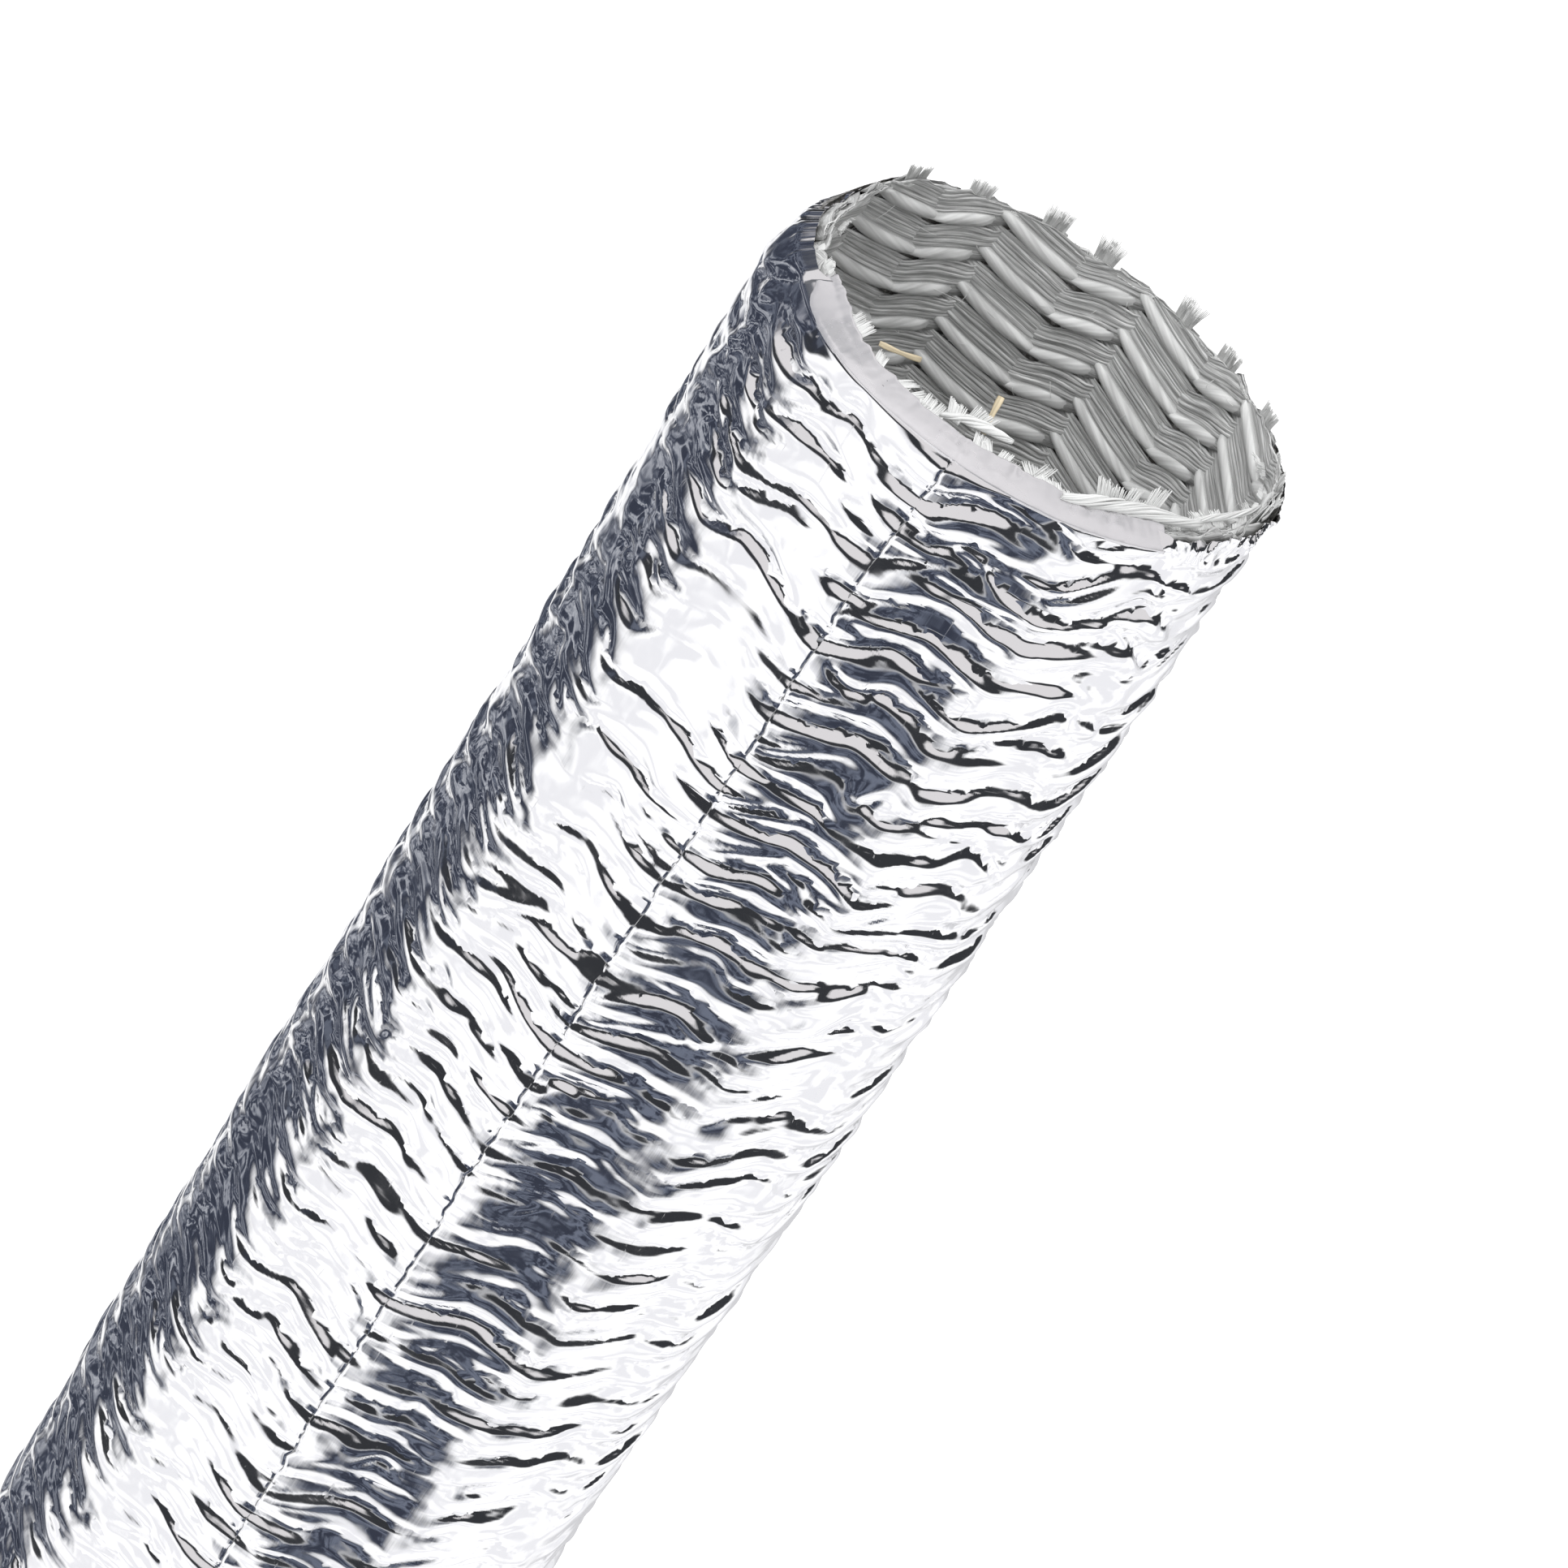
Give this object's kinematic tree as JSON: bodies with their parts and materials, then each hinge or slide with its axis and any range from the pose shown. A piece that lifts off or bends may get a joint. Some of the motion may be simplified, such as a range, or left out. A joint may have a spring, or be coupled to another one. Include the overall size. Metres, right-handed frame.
{
  "type": "flexible air duct",
  "caption": "Flexible round air duct: a crinkled aluminium foil jacket with a lengthwise lap seam, bonded over a braided glass sleeve with a frayed cut end.",
  "frame": {"origin": "centre of the lower cut end, on the plane that the duct stands on", "axes": "+Z along the duct towards its open upper end; the foil's lap seam is near -Y"},
  "size_m": [0.0552, 0.0552, 0.3026],
  "materials": {
    "foil": "mirror bright, finely scratched and crinkled",
    "foil_lap": "mirror bright edge of the foil",
    "glue_film": "thin dried adhesive film",
    "outer_tows": "flat glass fibre tows",
    "straight_tows": "straight glass fibre tows with loose ends",
    "inner_tows": "flat glass fibre tows with a twisted edge bundle"
  },
  "bodies": {
    "section_1": {"foil_jacket_1": "foil", "foil_seam_lap_1": "foil_lap", "glue_film_1": "glue_film", "outer_tows_1": "outer_tows", "straight_tows_1": "straight_tows", "inner_tows_1": "inner_tows", "foil_flex_ring_1": "foil", "braid_flex_ring_1": "outer_tows"},
    "section_2": {"foil_jacket_2": "foil", "foil_seam_lap_2": "foil_lap", "glue_film_2": "glue_film", "outer_tows_2": "outer_tows", "straight_tows_2": "straight_tows", "inner_tows_2": "inner_tows", "foil_flex_ring_2": "foil", "braid_flex_ring_2": "outer_tows"},
    "section_3": {"foil_jacket_3": "foil", "foil_seam_lap_3": "foil_lap", "glue_film_3": "glue_film", "outer_tows_3": "outer_tows", "straight_tows_3": "straight_tows", "inner_tows_3": "inner_tows", "foil_flex_ring_3": "foil", "braid_flex_ring_3": "outer_tows"},
    "section_4": {"foil_jacket_4": "foil", "foil_seam_lap_4": "foil_lap", "glue_film_4": "glue_film", "outer_tows_4": "outer_tows", "straight_tows_4": "straight_tows", "inner_tows_4": "inner_tows", "foil_flex_ring_4": "foil", "braid_flex_ring_4": "outer_tows"},
    "section_5": {"foil_jacket_5": "foil", "foil_seam_lap_5": "foil_lap", "glue_film_5": "glue_film", "outer_tows_5": "outer_tows", "straight_tows_5": "straight_tows", "inner_tows_5": "inner_tows", "foil_flex_ring_5": "foil", "braid_flex_ring_5": "outer_tows"},
    "section_6": {"foil_jacket_6": "foil", "foil_seam_lap_6": "foil_lap", "glue_film_6": "glue_film", "outer_tows_6": "outer_tows", "straight_tows_6": "straight_tows", "inner_tows_6": "inner_tows", "rim_foil_fold": "foil_lap", "frayed_tufts": "straight_tows"}
  },
  "joints": [
    {"name": "bend_x_1", "type": "hinge", "parent": "section_1", "child": "section_2", "pos_m": [0, 0, 0.05], "axis": [1, 0, 0], "range_deg": [-25, 25], "deforming": ["foil_flex_ring_1", "braid_flex_ring_1"]},
    {"name": "bend_y_1", "type": "hinge", "parent": "section_2", "child": "section_3", "pos_m": [0, 0, 0.1], "axis": [0, 1, 0], "range_deg": [-25, 25], "deforming": ["foil_flex_ring_2", "braid_flex_ring_2"]},
    {"name": "squeeze", "type": "slide", "parent": "section_3", "child": "section_4", "axis": [0, 0, 1], "range_m": [-0.008, 0.003], "deforming": ["foil_flex_ring_3", "braid_flex_ring_3"]},
    {"name": "bend_x_2", "type": "hinge", "parent": "section_4", "child": "section_5", "pos_m": [0, 0, 0.2], "axis": [1, 0, 0], "range_deg": [-25, 25], "deforming": ["foil_flex_ring_4", "braid_flex_ring_4"]},
    {"name": "bend_y_2", "type": "hinge", "parent": "section_5", "child": "section_6", "pos_m": [0, 0, 0.25], "axis": [0, 1, 0], "range_deg": [-25, 25], "deforming": ["foil_flex_ring_5", "braid_flex_ring_5"]}
  ]
}
